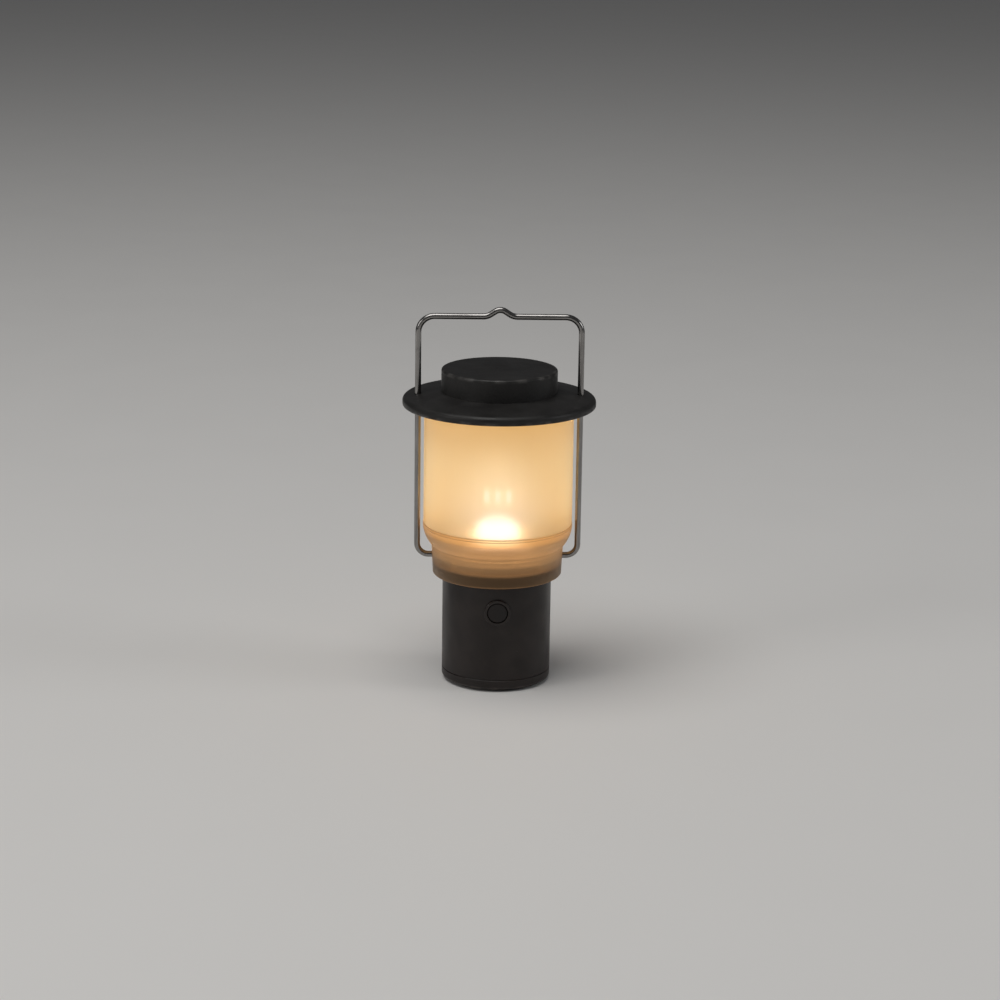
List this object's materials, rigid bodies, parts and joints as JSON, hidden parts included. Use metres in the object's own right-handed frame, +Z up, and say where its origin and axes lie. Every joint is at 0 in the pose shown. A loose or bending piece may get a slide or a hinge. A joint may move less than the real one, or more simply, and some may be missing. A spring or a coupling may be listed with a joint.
{
  "type": "camping lantern",
  "caption": "Small battery camping lantern: black round base with a push button, flared frosted globe, wide brimmed hat and a fixed wire bail for carrying or hanging.",
  "frame": {"origin": "on the floor, under the lantern's vertical axis, at the bottom of the rubber foot", "axes": "+Z up along the axis, the button faces -Y, the charging port faces +Y, and the bail lies in the XZ plane"},
  "size_m": [0.096, 0.096, 0.1901],
  "materials": {
    "foot_rubber": "soft matte rubber",
    "base_plastic": "black with a warm brown cast, fine moulded texture",
    "screw_steel": "zinc plated",
    "foam": "closed-cell foam",
    "cell_wrap": null,
    "nickel": "nickel strip",
    "inner_plastic": "moulded",
    "bezel_plastic": "satin black",
    "button_plastic": "matte black",
    "switch_plastic": "moulded",
    "board_laminate": "solder mask on laminate",
    "port_steel": "bright drawn shell",
    "cover_rubber": "matte rubber",
    "ring_plastic": "white moulded plastic",
    "lead_rubber": "insulated lead",
    "heat_sink_metal": "turned",
    "light_board_metal": "metal-core board with white mask",
    "light_chip": "phosphor, lit",
    "dome_plastic": "frosted, lit",
    "seal_rubber": "silicone rubber",
    "milky_plastic": "milky, lit from inside",
    "frosted_plastic": "frosted, lit from inside",
    "bail_steel": "polished dark steel wire",
    "hat_plastic": "matte black, fine texture",
    "reflector_plastic": "white"
  },
  "bodies": {
    "base": {"foot_ring": "foot_rubber", "bottom_cap": "base_plastic", "bottom_screws": "screw_steel", "base_shell": "base_plastic", "battery_pad": "foam", "battery_cells": "cell_wrap", "cell_strips": "nickel", "cell_holder": "inner_plastic", "button_bezel": "bezel_plastic", "push_switch": "switch_plastic", "main_board": "board_laminate", "charge_board": "board_laminate", "charge_port": "port_steel", "light_head": "base_plastic", "head_screws": "screw_steel", "light_leads": "lead_rubber", "heat_sink": "heat_sink_metal", "light_board": "light_board_metal", "light_chips": "light_chip", "dome_lens": "dome_plastic", "lens_ring": "ring_plastic", "neck_gasket": "seal_rubber"},
    "button": {"power_button": "button_plastic", "switch_plunger": "switch_plastic"},
    "port_cover": {"port_cover": "cover_rubber"},
    "shade": {"globe_cuff": "milky_plastic", "globe_tube": "frosted_plastic", "bail": "bail_steel"},
    "hat": {"brim": "hat_plastic", "hat_cap": "hat_plastic", "hat_reflector": "reflector_plastic", "hat_screws": "screw_steel", "hat_seal": "seal_rubber"}
  },
  "joints": [
    {"name": "button_press", "type": "slide", "parent": "base", "child": "button", "axis": [0, 1, 0], "range_m": [0, 0.0008], "stiffness_N_per_m": 1500, "springref_m": -0.0003},
    {"name": "port_cover_open", "type": "hinge", "parent": "base", "child": "port_cover", "pos_m": [0, 0.02672, 0.0224], "axis": [1, 0, 0], "range_deg": [0, 95]},
    {"name": "shade_turn", "type": "hinge", "parent": "base", "child": "shade", "pos_m": [0, 0, 0.066], "axis": [0, 0, 1], "range_deg": [0, 31]},
    {"name": "hat_lift", "type": "slide", "parent": "shade", "child": "hat", "axis": [0, 0, 1], "range_m": [0, 0.022]}
  ]
}
